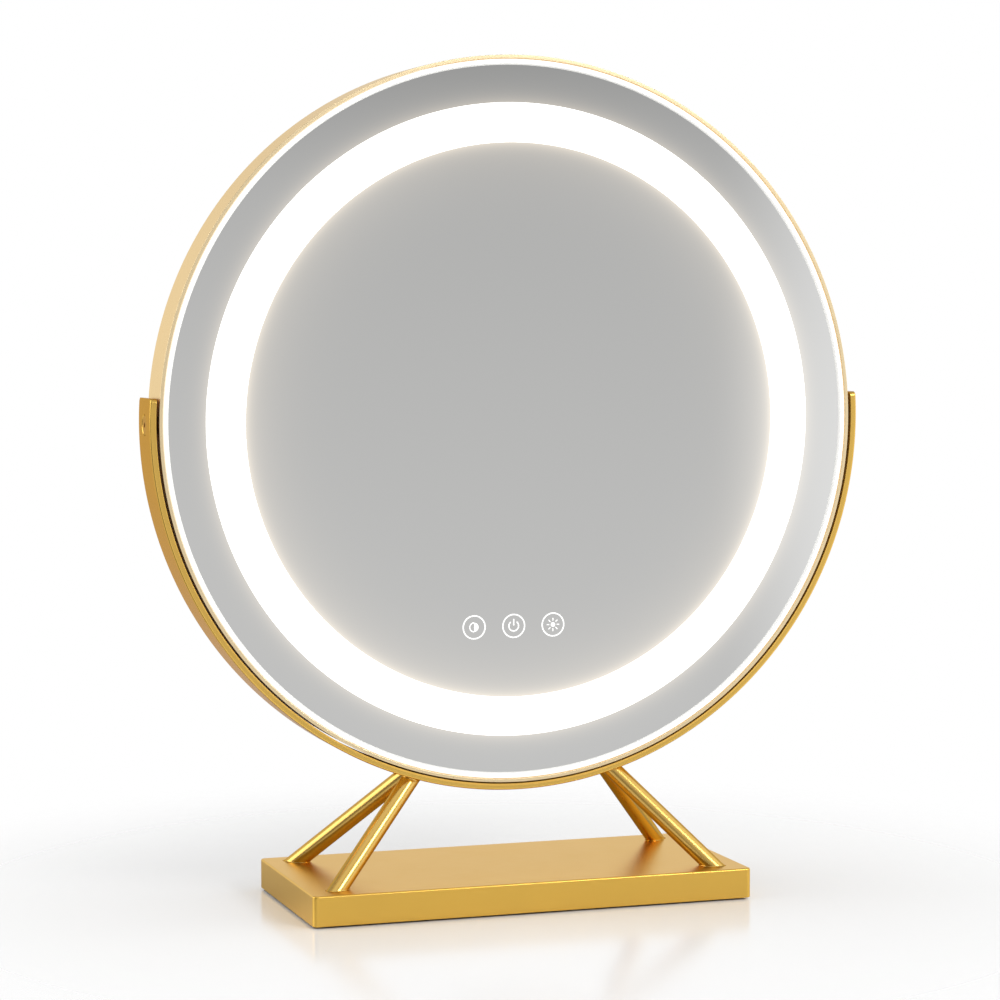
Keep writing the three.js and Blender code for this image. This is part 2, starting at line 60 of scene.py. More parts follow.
def add_camera():
    data = bpy.data.cameras.new("camera")
    data.lens = CAMERA_LENS
    data.sensor_width = CAMERA_SENSOR
    camera = bpy.data.objects.new("camera", data)
    bpy.context.scene.collection.objects.link(camera)
    level = math.cos(CAMERA_ELEVATION)
    outward = Vector((
        math.sin(CAMERA_AZIMUTH) * level,
        -math.cos(CAMERA_AZIMUTH) * level,
        math.sin(CAMERA_ELEVATION),
    ))
    camera.location = CAMERA_AIM + outward * CAMERA_DISTANCE
    camera.rotation_euler = outward.to_track_quat("Z", "Y").to_euler()
    bpy.context.scene.camera = camera


add_camera()

# ---- Places and sizes taken from the frame ----


def extent(node):
    low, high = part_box(node)
    return low, high, (low + high) / 2


HOOP_LOW, HOOP_HIGH, HEAD = extent("hoop")
GLASS_LOW, GLASS_HIGH, _ = extent("mirror_glass")
_, HOUSING_HIGH, _ = extent("housing")
COVER_LOW, COVER_HIGH, _ = extent("back_cover")
YOKE_LOW, YOKE_HIGH, _ = extent("yoke")
SHELL_LOW, SHELL_HIGH, _ = extent("base_shell")

HOOP_OUTER = HOOP_HIGH.x
GLASS_RADIUS = GLASS_HIGH.x
HOUSING_OUTER = HOUSING_HIGH.x
COVER_RADIUS = COVER_HIGH.x
YOKE_OUTER = YOKE_HIGH.x
BASE_TOP = SHELL_HIGH.z
HOOP_FRONT = HOOP_LOW.y - HEAD.y
HOOP_BACK = HOOP_HIGH.y - HEAD.y
GLASS_FRONT = GLASS_LOW.y - HEAD.y
GLASS_BACK = GLASS_HIGH.y - HEAD.y
HOUSING_BACK = HOUSING_HIGH.y - HEAD.y
COVER_INSIDE = COVER_LOW.y - HEAD.y
COVER_OUTSIDE = COVER_HIGH.y - HEAD.y

# Sizes that the boxes can't give
HOOP_WALL = 2.0 * MM
YOKE_THICKNESS = 3.6 * MM
YOKE_INNER = YOKE_OUTER - YOKE_THICKNESS
YOKE_LIFT = 0.8 * MM  # from the tilt axis up to the centre of the yoke's ring
BAND_INNER = 157.1 * MM  # frosted band of the glass
BAND_OUTER = 179.4 * MM
KEY_DROP = 116.6 * MM  # touch keys below the head's centre
KEY_SPACING = 23.7 * MM
KEY_SHIFT = -1.3 * MM
PIVOT_HOLE = 3.3 * MM  # radius of the holes that the tilt bolts pass through
SUNK = 0.02 * MM  # how far the band and the key marks reach into the glass
PROUD = 0.06 * MM  # and how far they stand out of it

# Sides of a turned shape, by its size
RING_STEPS = 288
BOLT_STEPS = 64
ROUND_STEPS = 48
SMALL_STEPS = 32

BACKWARD = Vector((0, 1, 0))
UP = Vector((0, 0, 1))
YOKE_CENTRE = HEAD + UP * YOKE_LIFT

# ---- Materials ----

GOLD_GRAIN = 900  # scale of the drawn grain
GOLD_UNEVEN = 0.015  # how far the grain and the rubbing move the roughness
UNPOLISHED = 0.35  # extra roughness of a band's inner face
SILVER = (0.815, 0.815, 0.805)
WARM_SPILL = (1.0, 0.84, 0.62)
SPILL_NEAR = (0.27, 2.6 * MM)  # strength at the band's edge, and the distance it dies away over
SPILL_FAR = (0.16, 15 * MM)
SPILL_OUTSIDE = (0.20, 4 * MM)
FROST_DARK = (0.86, 0.86, 0.85)
FROST_PALE = (0.93, 0.93, 0.92)
BOARD_DARK = (0.012, 0.09, 0.035)
BOARD_GREEN = (0.02, 0.13, 0.05)
BOARD_TRACK = (0.04, 0.2, 0.08)


class Nodes:
    """A node tree, with short calls for adding nodes to it."""

    def __init__(self, tree):
        self.tree = tree

    def node(self, kind, inputs=None, **settings):
        node = self.tree.nodes.new("ShaderNode" + kind)
        for name, value in settings.items():
            setattr(node, name, value)
        for socket, value in (inputs or {}).items():
            self.feed(node.inputs[socket], value)
        return node

    def feed(self, socket, value):
        if isinstance(value, bpy.types.NodeSocket):
            self.tree.links.new(value, socket)
        else:
            socket.default_value = value

    def math(self, operation, *values):
        return self.node("Math", dict(enumerate(values)), operation=operation).outputs[0]

    def total(self, first, *others):
        for other in others:
            first = self.math("ADD", first, other)
        return first

    def product(self, first, *others):
        for other in others:
            first = self.math("MULTIPLY", first, other)
        return first

    def ranged(self, value, low, high, to_low, to_high, smooth=False):
        """value's stretch from low to high, moved to run from to_low to to_high."""
        inputs = {"Value": value, 1: low, 2: high, 3: to_low, 4: to_high}
        interpolation = "SMOOTHSTEP" if smooth else "LINEAR"
        return self.node("MapRange", inputs, interpolation_type=interpolation).outputs[0]

    def mixed(self, factor, first, second):
        node = self.node("Mix", data_type="RGBA")
        self.feed(node.inputs[0], factor)
        self.feed(node.inputs[6], first)
        self.feed(node.inputs[7], second)
        return node.outputs[2]


class Surface(Nodes):
    """A material with one Principled shader, patterned by the object's own coordinates."""

    def __init__(self, name, **constants):
        self.material = bpy.data.materials.new(name)
        self.material.use_nodes = True
        super().__init__(self.material.node_tree)
        self.shader = self.tree.nodes["Principled BSDF"]
        for socket, value in constants.items():
            self.shader.inputs[socket.replace("_", " ")].default_value = value
        self.coordinates = self.tree.nodes.new("ShaderNodeTexCoord").outputs["Object"]

    def set(self, socket, value):
        self.feed(self.shader.inputs[socket], value)

    def noise(self, scale, detail=3.0, roughness=0.55, stretch=(1, 1, 1)):
        place = self.node("Mapping", {"Vector": self.coordinates, "Scale": stretch}).outputs[0]
        inputs = {"Vector": place, "Scale": scale, "Detail": detail, "Roughness": roughness}
        return self.node("TexNoise", inputs).outputs["Fac"]

    def bump(self, height, distance, strength):
        inputs = {"Height": height, "Distance": distance, "Strength": strength}
        self.set("Normal", self.node("Bump", inputs).outputs[0])


def colour(red, green, blue):
    return (red, green, blue, 1.0)


def scaled(tint, factor):
    return colour(*[channel * factor for channel in tint])


def gold(name, stretch, roughness, edge_tint, tint, inner=None):
    """Satin gold plating: faint cloudiness in its colour, a fine drawn grain and small rubbed patches.

    A band's face at the inner radius is left unpolished.
    """
    surface = Surface(name, Metallic=1.0, Specular_Tint=colour(*edge_tint))
    cloud = surface.ranged(surface.noise(14, 4), 0.3, 0.7, 0, 1, smooth=True)
    surface.set("Base Color", surface.mixed(cloud, scaled(tint, 0.975), colour(*tint)))
    grain = surface.noise(GOLD_GRAIN, 2, stretch=stretch)
    rubbed = surface.ranged(surface.noise(45, 5, 0.65), 0.35, 0.75, 0, 1, smooth=True)
    fine = surface.ranged(grain, 0.2, 0.8, roughness - GOLD_UNEVEN, roughness + GOLD_UNEVEN)
    fine = surface.total(fine, surface.product(rubbed, GOLD_UNEVEN))
    if inner:
        radius = radius_from_axis(surface)
        fine = surface.total(fine, surface.ranged(radius, inner, inner + 0.4 * MM, UNPOLISHED, 0))
    surface.set("Roughness", fine)
    surface.bump(grain, 0.0015 * MM, 0.1)
    return surface.material


def plastic(name, tint, roughness, grain=700, depth=0.03):
    """Moulded plastic with a fine spark-eroded grain and slight unevenness in its gloss."""
    surface = Surface(name)
    shade = surface.ranged(surface.noise(30, 4), 0.3, 0.7, 0.95, 1.0)
    surface.set("Base Color", surface.mixed(shade, scaled(tint, 0.9), colour(*tint)))
    texture = surface.noise(grain, 3, 0.6)
    gloss = surface.ranged(texture, 0.25, 0.75, roughness - 0.05, roughness + 0.08)
    surface.set("Roughness", gloss)
    surface.bump(texture, depth * MM, 0.5)
    return surface.material


def plated_steel(name, tint, roughness):
    """Bright plating with duller, rougher patches where it has been handled."""
    surface = Surface(name, Metallic=1.0)
    worn = surface.ranged(surface.noise(160, 5, 0.7), 0.35, 0.7, 0, 1, smooth=True)
    surface.set("Base Color", surface.mixed(worn, colour(*tint), scaled(tint, 0.75)))
    surface.set("Roughness", surface.ranged(worn, 0, 1, roughness, roughness + 0.15))
    surface.bump(surface.noise(1200, 2), 0.01 * MM, 0.5)
    return surface.material


def powder_coat(name, tint):
    """Dark paint with a fine pebbled surface."""
    surface = Surface(name, Metallic=0.0)
    pebble = surface.noise(1600, 2, 0.5)
    surface.set("Base Color", surface.mixed(pebble, colour(*tint), scaled(tint, 1.6)))
    surface.set("Roughness", surface.ranged(pebble, 0.3, 0.7, 0.45, 0.62))
    surface.bump(pebble, 0.06 * MM, 0.6)
    return surface.material


def radius_from_axis(surface):
    """Distance of the shaded point from the mirror's axis."""
    centre = tuple(HEAD)
    offset = surface.node("VectorMath", {0: surface.coordinates, 1: centre}, operation="SUBTRACT")
    flat = surface.node("VectorMath", {0: offset.outputs[0], 1: (1, 0, 1)}, operation="MULTIPLY")
    return surface.node("VectorMath", {0: flat.outputs[0]}, operation="LENGTH").outputs["Value"]


def fading(surface, distance, strength, reach):
    """Light that dies away with distance, and is none where the distance is below nought."""
    falling = surface.math("EXPONENT", surface.product(distance, -1 / reach))
    there = surface.math("GREATER_THAN", distance, 0.0)
    return surface.product(surface.math("MINIMUM", falling, 1.0), there, strength)


def mirror_surface():
    """Silvered glass. Light spills from the frosted band into the glass beside it and dies away."""
    surface = Surface("silvered_glass", Metallic=1.0, Base_Color=colour(*SILVER))
    smear = surface.ranged(surface.noise(9, 5, 0.6), 0.4, 0.75, 0, 1, smooth=True)
    surface.set("Roughness", surface.ranged(smear, 0, 1, 0.012, 0.035))
    radius = radius_from_axis(surface)
    inward = surface.math("SUBTRACT", BAND_INNER, radius)
    outward = surface.math("SUBTRACT", radius, BAND_OUTER)
    spill = surface.total(
        fading(surface, inward, *SPILL_NEAR),
        fading(surface, inward, *SPILL_FAR),
        fading(surface, outward, *SPILL_OUTSIDE),
    )
    surface.set("Emission Strength", spill)
    surface.shader.inputs["Emission Color"].default_value = colour(*WARM_SPILL)
    return surface.material


def glowing(name, tint, strength):
    """Lit frosted plastic or glass, with a fine etched grain."""
    surface = Surface(name, Emission_Color=colour(*tint), Emission_Strength=strength)
    etch = surface.noise(1500, 2)
    surface.set("Base Color", surface.mixed(etch, colour(*FROST_DARK), colour(*FROST_PALE)))
    surface.set("Roughness", surface.ranged(etch, 0.3, 0.7, 0.35, 0.5))
    surface.bump(etch, 0.01 * MM, 0.4)
    return surface.material


def circuit_board(name):
    """Green solder mask over a plain weave of copper tracks."""
    surface = Surface(name, Coat_Weight=0.4)
    weave = {"Vector": surface.coordinates, "Scale": 130.0, "Mortar Size": 0.08}
    tracks = surface.node("TexBrick", weave).outputs["Fac"]
    mask = surface.mixed(surface.noise(500, 3), colour(*BOARD_DARK), colour(*BOARD_GREEN))
    surface.set("Base Color", surface.mixed(tracks, mask, colour(*BOARD_TRACK)))
    surface.set("Roughness", surface.ranged(surface.noise(300, 3), 0.3, 0.7, 0.3, 0.45))
    surface.bump(tracks, 0.03 * MM, 0.6)
    return surface.material


ALONG_X = (0.12, 1, 1)
EVEN = (1, 1, 1)
# The four golds are one plating. Their tints and edge tints are set part by part to paint in light and
# shade: the hoop band's paler, creamier tint is painted light, and the rods' darker tint and the dark
# edge tints of the rods and yoke are painted shade.
GOLD_BASE = gold("gold_base", ALONG_X, 0.30, (1.0, 0.92, 0.77), (0.755, 0.465, 0.090))
GOLD_ROD = gold("gold_rod", EVEN, 0.22, (0.62, 0.46, 0.32), (0.70, 0.45, 0.12))
GOLD_YOKE = gold("gold_yoke", EVEN, 0.24, (0.60, 0.44, 0.30), (0.775, 0.49, 0.11), YOKE_INNER)
GOLD_HOOP = gold("gold_hoop_band", EVEN, 0.28, (0.88, 0.76, 0.56), (0.90, 0.72, 0.44))
MIRROR = mirror_surface()
BAND_LIGHT = glowing("frosted_band_light", (1.0, 0.985, 0.95), 1.25)
TRIM_LIGHT = glowing("trim_light", (1.0, 0.99, 0.97), 0.42)
ICON_LIGHT = glowing("icon_light", (1.0, 0.99, 0.97), 0.5)
WHITE_PLASTIC = plastic("white_plastic", (0.86, 0.86, 0.85), 0.38)
WHITE_INNER = plastic("white_inner_plastic", (0.84, 0.84, 0.83), 0.5)
BLACK_PLASTIC = plastic("black_plastic", (0.018, 0.018, 0.018), 0.32)
RUBBER = plastic("rubber", (0.02, 0.02, 0.02), 0.75, grain=900, depth=0.08)
DARK_NYLON = plastic("dark_nylon", (0.05, 0.035, 0.02), 0.5)
LEAD_SHEATH = plastic("lead_sheath", (0.42, 0.02, 0.02), 0.4)
STEEL = plated_steel("plated_steel", (0.62, 0.61, 0.58), 0.28)
DARK_STEEL = powder_coat("black_powder_coat", (0.02, 0.02, 0.021))
BLACK_SCREW = plated_steel("blackened_screw", (0.09, 0.09, 0.095), 0.3)
BOARD = circuit_board("circuit_board")

# ---- Building meshes ----

SHARP = math.radians(32)  # edges steeper than this stay crisp


def piece(name, mesh, material, body, replaced=()):
    """Turns a mesh into a finished object that rides on a body and stands for CAD nodes."""
    mesh.materials.clear()
    mesh.materials.append(material)
    mesh.polygons.foreach_set("use_smooth", [True] * len(mesh.polygons))
    mesh.set_sharp_from_angle(angle=SHARP)
    finished = bpy.data.objects.new(name, mesh)
    bpy.context.scene.collection.objects.link(finished)
    normals = finished.modifiers.new("normals", "WEIGHTED_NORMAL")
    normals.keep_sharp = True
    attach(finished, body)
    if replaced:
        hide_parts(*replaced)


def mesh_from(name, points, faces):
    mesh = bpy.data.meshes.new(name)
    mesh.from_pydata([tuple(p) for p in points], [], faces)
    work = bmesh.new()
    work.from_mesh(mesh)
    bmesh.ops.remove_doubles(work, verts=work.verts, dist=1e-7)
    bmesh.ops.recalc_face_normals(work, faces=work.faces)
    work.to_mesh(mesh)
    work.free()
    return mesh


def joined(name, meshes):
    work = bmesh.new()
    for mesh in meshes:
        work.from_mesh(mesh)
        bpy.data.meshes.remove(mesh)
    result = bpy.data.meshes.new(name)
    work.to_mesh(result)
    work.free()
    return result


def cut(mesh, cutters):
    """The mesh with each cutter taken out of it, by exact booleans."""
    holder = bpy.data.objects.new("work", mesh)
    bpy.context.scene.collection.objects.link(holder)
    tools = []
    for cutter in cutters:
        tool = bpy.data.objects.new("tool", cutter)
        bpy.context.scene.collection.objects.link(tool)
        modifier = holder.modifiers.new("cut", "BOOLEAN")
        modifier.operation = "DIFFERENCE"
        modifier.solver = "EXACT"
        modifier.object = tool
        tools.append(tool)
    bpy.context.view_layer.update()
    evaluated = holder.evaluated_get(bpy.context.evaluated_depsgraph_get())
    result = bpy.data.meshes.new_from_object(evaluated)
    for used in tools + [holder]:
        data = used.data
        bpy.data.objects.remove(used)
        bpy.data.meshes.remove(data)
    return result


def filleted(corners, steps=5):
    """An outline from corners given as (radius, offset) or (radius, offset, fillet)."""
    outline = []
    count = len(corners)
    for i, corner in enumerate(corners):
        here = Vector(corner[:2])
        fillet = corner[2] if len(corner) > 2 else 0
        if not fillet:
            outline.append(here)
            continue
        before = Vector(corners[i - 1][:2])
        after = Vector(corners[(i + 1) % count][:2])
        back = (before - here).normalized()
        on = (after - here).normalized()
        half = math.acos(max(-1, min(1, back.dot(on)))) / 2
        reach = fillet / math.tan(half)
        middle = here + (back + on).normalized() * fillet / math.sin(half)
        start = here + back * reach - middle
        end = here + on * reach - middle
        turn = start.angle_signed(end)
        for k in range(steps + 1):
            outline.append(middle + Matrix.Rotation(-turn * k / steps, 2) @ start)
    return outline


def turned(name, outline, origin, axis, steps=ROUND_STEPS, closed=False):
    """A solid of revolution. The outline's points are (radius, offset along the axis).

    A closed outline also joins its last point to its first.
    """
    axis = Vector(axis).normalized()
    across = axis.orthogonal().normalized()
    if abs(axis.z) < 0.5:
        across = UP
    third = axis.cross(across)
    points, rows = [], []
    for radius, offset in outline:
        if radius < 1e-9:
            rows.append([len(points)] * steps)
            points.append(origin + axis * offset)
            continue
        rows.append(list(range(len(points), len(points) + steps)))
        for k in range(steps):
            angle = 2 * math.pi * k / steps
            spoke = across * math.cos(angle) + third * math.sin(angle)
            points.append(origin + spoke * radius + axis * offset)
    faces = []
    pairs = list(zip(rows, rows[1:])) + ([(rows[-1], rows[0])] if closed else [])
    for low, high in pairs:
        for k in range(steps):
            corner = [low[k], low[(k + 1) % steps], high[(k + 1) % steps], high[k]]
            unique = list(dict.fromkeys(corner))
            if len(unique) > 2:
                faces.append(unique)
    return mesh_from(name, points, faces)


def skinned(name, rows):
    """A skin over rows of points, each row a closed loop, with flat ends."""
    count = len(rows[0])
    points = [point for row in rows for point in row]
    faces = []
    for i in range(len(rows) - 1):
        for k in range(count):
            j = (k + 1) % count
            faces.append([i * count + k, i * count + j, (i + 1) * count + j, (i + 1) * count + k])
    faces.append(list(range(count)))
    faces.append([(len(rows) - 1) * count + k for k in range(count)])
    return mesh_from(name, points, faces)


def prism(sides, radius, low, high, origin, axis):
    return turned("cutter", [(0, low), (radius, low), (radius, high), (0, high)], origin, axis, sides)


def cross_cutter(width, length, low, high, origin, axis):
    """Two crossed bars, for a cross recess in a screw's head."""
    axis = Vector(axis).normalized()
    across = UP if abs(axis.z) < 0.5 else Vector((1, 0, 0))
    bars = []
    for first in (across, axis.cross(across)):
        second = axis.cross(first)
        points = []
        for offset, shrink in ((low, 0.6), (high, 1.0)):
            reach = length * shrink / 2
            half_width = width * (0.5 + shrink / 2) / 2
            for a, b in ((-1, -1), (1, -1), (1, 1), (-1, 1)):
                points.append(origin + axis * offset + first * a * reach + second * b * half_width)
        sides = [[0, 1, 5, 4], [1, 2, 6, 5], [2, 3, 7, 6], [3, 0, 4, 7], [3, 2, 1, 0], [4, 5, 6, 7]]
        bars.append(mesh_from("bar", points, sides))
    return bars


# ---- Base ----

BASE_CORNER = 3.0 * MM
BASE_WALL = 1.6 * MM
BASE_EDGE = 1.0 * MM
BASE_CAP = 20 * MM  # how far in from the sides the flat faces are closed
CORNER_STEPS = 8
BOTTOM_SCREW_HOLE = 2.0 * MM
BOTTOM_SCREW = {
    "shank": 1.7 * MM, "head": 3.2 * MM, "head_height": 1.1 * MM,
    "material": STEEL, "slot": "steel", "body": "stand",
}
FOOT_HOLLOW = 0.25 * MM  # the shallow dish in each rubber foot
CUTTER_REACH = 30 * MM  # long enough to pass right through a plate or cover


def rounded_loop(low, high, inset, height):
    """The base's outline, drawn in by inset, as a loop of points at one height."""
    radius = max(BASE_CORNER - inset, 0.3 * MM)
    right = high.x - inset - radius
    back = high.y - inset - radius
    left = low.x + inset + radius
    front = low.y + inset + radius
    loop = []
    for quarter, (x, y) in enumerate(((right, back), (left, back), (left, front), (right, front))):
        for k in range(CORNER_STEPS + 1):
            angle = (quarter + k / CORNER_STEPS) * math.pi / 2
            outward = Vector((math.cos(angle), math.sin(angle), 0))
            loop.append(Vector((x, y, height)) + outward * radius)
    return loop


def add_base_shell():
    rim = SHELL_LOW.z
    inside = BASE_TOP - BASE_WALL
    section = filleted([
        (BASE_CAP, inside), (BASE_WALL, inside, 0.8 * MM), (BASE_WALL, rim, 0.3 * MM),
        (0, rim, 0.5 * MM), (0, BASE_TOP, BASE_EDGE), (BASE_CAP, BASE_TOP),
    ])
    rows = [rounded_loop(SHELL_LOW, SHELL_HIGH, inset, height) for inset, height in section]
    piece("base_cover", skinned("base_cover", rows), GOLD_BASE, "stand", ["base_shell"])


def holes_for(nodes, radius, axis):
    """Cutters along an axis, through the middle of each of the nodes."""
    cutters = []
    for node in nodes:
        _, _, middle = extent(node)
        cutters.append(prism(ROUND_STEPS, radius, -CUTTER_REACH, CUTTER_REACH, middle, axis))
    return cutters


def add_bottom_plate():
    low, high, _ = extent("bottom_plate")
    section = filleted([
        (BASE_CAP, high.z), (0, high.z, 0.2 * MM), (0, low.z, 0.3 * MM), (BASE_CAP, low.z),
    ], steps=3)
    plate = skinned("bottom_plate", [rounded_loop(low, high, inset, z) for inset, z in section])
    screws = [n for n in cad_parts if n.startswith("bottom_screw_")]
    plate = cut(plate, holes_for(screws, BOTTOM_SCREW_HOLE, UP))
    piece("base_bottom_plate", plate, DARK_STEEL, "stand", ["bottom_plate"])


def screw(node, axis, shank, head, head_height, material, slot, body):
    """A cross-recessed pan-head screw in place of a CAD screw. The axis points to its head."""
    low, high, middle = extent(node)
    length = abs((high - low).dot(axis))
    tip = middle - axis * length / 2
    shoulder = length - head_height
    outline = filleted([
        (0, 0), (shank * 0.6, 0), (shank, shank * 0.5), (shank, shoulder),
        (head, shoulder, 0.1 * MM), (head, length - head_height * 0.25, head_height * 0.5),
        (head * 0.35, length), (0, length),
    ])
    recess_floor = length - head_height * 0.7
    recess = cross_cutter(0.9 * MM, head * 1.15, recess_floor, length + MM, tip, axis)
    solid = cut(turned(node, outline, tip, axis, SMALL_STEPS), recess)
    piece(f"{node}_turned", solid, material, body, [node])


def add_foot(node):
    low, high, middle = extent(node)
    radius = (high.x - low.x) / 2
    height = high.z - low.z
    outline = filleted([
        (0, height), (radius, height, 0.2 * MM), (radius, 0, 0.5 * MM),
        (radius * 0.6, 0, 0.2 * MM), (radius * 0.5, FOOT_HOLLOW, 0.2 * MM), (0, FOOT_HOLLOW),
    ])
    pad = turned(node, outline, Vector((middle.x, middle.y, low.z)), UP)
    piece(f"{node}_pad", pad, RUBBER, "stand", [node])


def add_feet_and_bottom_screws():
    for node in sorted(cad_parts):
        if node.startswith("bottom_screw_"):
            screw(node, -UP, **BOTTOM_SCREW)
        if node.startswith("foot_"):
            add_foot(node)


# ---- Rods ----

ROD_RADIUS = 5.0 * MM
ROD_FOOT = Vector((112, 44.5)) * MM
ROD_TOP_X = 60 * MM
ROD_TOP_SPREAD = 5.5 * MM
BASE_FILLET = 0.7 * MM
YOKE_FILLET = 1.4 * MM
BASE_SINK = 0.2 * MM  # how far a rod's ends reach into what they are welded to
YOKE_SINK = 0.3 * MM
ROD_STEPS = 64
WELD_STEPS = 4


def to_yoke(point, direction):
    """Where a line from a point first meets the yoke's outer surface."""
    x, z = point.x, point.z - YOKE_CENTRE.z
    a = direction.x ** 2 + direction.z ** 2
    b = 2 * (x * direction.x + z * direction.z)
    c = x * x + z * z - YOKE_OUTER ** 2
    return point + direction * (-b - math.sqrt(b * b - 4 * a * c)) / (2 * a)


def weld_rows(corners, up_rod, outward, size, sink):
    """Rows of a small concave fillet, from the rod's side to the surface that it is welded to."""
    rows = []
    for k in range(WELD_STEPS + 1):
        t = k / WELD_STEPS
        rows.append([
            p + (a * (1 - t) ** 2 + b * t ** 2) * size for p, a, b in zip(corners, up_rod, outward)
        ])
    rows.append([point + s for point, s in zip(rows[-1], sink)])
    return rows


def add_rod(node, side, end):
    foot = Vector((side * ROD_FOOT.x, end * ROD_FOOT.y, BASE_TOP))
    drop = math.sqrt(YOKE_OUTER ** 2 - ROD_TOP_X ** 2)
    top = Vector((side * ROD_TOP_X, HEAD.y + end * ROD_TOP_SPREAD, YOKE_CENTRE.z - drop))
    along = (top - foot).normalized()
    first = along.cross(UP).normalized()
    second = along.cross(first)
    feet, tops, spokes = [], [], []
    for k in range(ROD_STEPS):
        angle = 2 * math.pi * k / ROD_STEPS
        spoke = first * math.cos(angle) + second * math.sin(angle)
        edge = foot + spoke * ROD_RADIUS
        feet.append(edge + along * (BASE_TOP - edge.z) / along.z)
        tops.append(to_yoke(feet[-1], along))
        spokes.append(spoke)
    level = [Vector((s.x, s.y, 0)).normalized() for s in spokes]
    normals = [Vector((p.x, 0, p.z - YOKE_CENTRE.z)).normalized() for p in tops]
    tangents = [(s - n * s.dot(n)).normalized() for s, n in zip(spokes, normals)]
    into_base = [UP * -BASE_SINK] * ROD_STEPS
    into_yoke = [n * -YOKE_SINK for n in normals]
    low = weld_rows(feet, [along] * ROD_STEPS, level, BASE_FILLET, into_base)
    high = weld_rows(tops, [-along] * ROD_STEPS, tangents, YOKE_FILLET, into_yoke)
    piece(f"{node}_rod", skinned(node, low[::-1] + high), GOLD_ROD, "stand", [node])


def add_rods():
    for side, across in ((-1, "left"), (1, "right")):
        for end, depth in ((-1, "front"), (1, "back")):
            add_rod(f"leg_{depth}_{across}", side, end)


# ---- Yoke and tilt pivots ----

YOKE_STEPS = 240
YOKE_EDGE = 0.9 * MM
YOKE_INNER_EDGE = 0.3 * MM
YOKE_END_CORNER = 2.5 * MM
CORNER_STATIONS = 6
BOLT_SHANK = 3.0 * MM
BOLT_HEAD = 5.6 * MM
BOLT_HEAD_THICKNESS = 1.2 * MM
BOLT_SOCKET = 1.5 * MM
BOLT_SOCKET_DEPTH = 1.1 * MM
POCKET_GAP = 0.2 * MM  # round the bolt's head
POCKET_BED = 0.5 * MM  # under the bolt's head
POCKET_BEVEL = 0.5 * MM
WASHER_RADIUS = 5.5 * MM


def yoke_section(width):
    half = width / 2
    return filleted([
        (YOKE_INNER, -half, YOKE_INNER_EDGE), (YOKE_OUTER, -half, YOKE_EDGE),
        (YOKE_OUTER, half, YOKE_EDGE), (YOKE_INNER, half, YOKE_INNER_EDGE),
    ])


def yoke_angles(rise):
    """Stations along the yoke from end to end, closer together in its rounded ends."""
    span = math.pi + 2 * rise
    near_end = [
        YOKE_END_CORNER / YOKE_OUTER * (1 - math.cos(math.pi / 2 * k / CORNER_STATIONS))
        for k in range(CORNER_STATIONS)
    ]
    between = [span * k / YOKE_STEPS for k in range(YOKE_STEPS + 1)]
    between = [a for a in between if near_end[-1] < a < span - near_end[-1]]
    return [a - rise for a in near_end + between + [span - a for a in reversed(near_end)]]


def bolt_pocket(side):
    """Cutter for a bolt's hole and the pocket that its head lies in."""
    pocket_floor = YOKE_OUTER - BOLT_HEAD_THICKNESS - POCKET_BED
    rim = YOKE_OUTER - 0.1 * MM
    below = YOKE_OUTER - 8 * MM
    above = rim + 3 * MM
    pocket = BOLT_HEAD + POCKET_GAP
    mouth = pocket + POCKET_BEVEL
    outline = [
        (0, below), (PIVOT_HOLE, below), (PIVOT_HOLE, pocket_floor), (pocket, pocket_floor),
        (pocket, rim - 0.3 * MM), (mouth, rim + 0.2 * MM), (mouth, above), (0, above),
    ]
    return turned("cutter", outline, HEAD, Vector((side, 0, 0)), BOLT_STEPS)


def add_yoke():
    full = YOKE_HIGH.y - YOKE_LOW.y
    rise = math.asin((YOKE_HIGH.z - YOKE_CENTRE.z) / YOKE_OUTER)
    rows = []
    for angle in yoke_angles(rise):
        from_end = min(angle + rise, math.pi + rise - angle) * YOKE_OUTER
        short = max(YOKE_END_CORNER - from_end, 0)
        width = full - 2 * (YOKE_END_CORNER - math.sqrt(max(YOKE_END_CORNER ** 2 - short ** 2, 0)))
        outward = Vector((math.cos(angle), 0, -math.sin(angle)))
        rows.append([YOKE_CENTRE + outward * radius + BACKWARD * y for radius, y in yoke_section(width)])
    band = cut(skinned("yoke", rows), [bolt_pocket(side) for side in (-1, 1)])
    piece("yoke_band", band, GOLD_YOKE, "stand", ["yoke"])


def add_bolt(name, outward):
    node = f"pivot_bolt_{name}"
    low, high, _ = extent(node)
    tip, face = sorted((abs(low.x), abs(high.x)))
    shoulder = face - BOLT_HEAD_THICKNESS
    outline = filleted([
        (0, tip), (BOLT_SHANK - 0.4 * MM, tip), (BOLT_SHANK, tip + 0.4 * MM), (BOLT_SHANK, shoulder),
        (BOLT_HEAD, shoulder), (BOLT_HEAD, face, 0.35 * MM), (0, face),
    ])
    socket = prism(6, BOLT_SOCKET, face - BOLT_SOCKET_DEPTH, face + MM, HEAD, outward)
    bolt = cut(turned("bolt", outline, HEAD, outward, BOLT_STEPS), [socket])
    piece(f"tilt_bolt_{name}", bolt, GOLD_ROD, "stand", [node])


def add_washer(name, outward):
    node = f"pivot_washer_{name}"
    low, high, _ = extent(node)
    near, far = sorted((abs(low.x), abs(high.x)))
    ring = filleted([
        (PIVOT_HOLE, near, 0.1 * MM), (WASHER_RADIUS, near, 0.2 * MM),
        (WASHER_RADIUS, far, 0.2 * MM), (PIVOT_HOLE, far, 0.1 * MM),
    ], steps=3)
    washer = turned("washer", ring, HEAD, outward, ROUND_STEPS, closed=True)
    piece(f"tilt_washer_{name}", washer, DARK_NYLON, "stand", [node])


def add_pivots():
    for side, name in ((-1, "left"), (1, "right")):
        add_bolt(name, Vector((side, 0, 0)))
        add_washer(name, Vector((side, 0, 0)))


# ---- Head ----

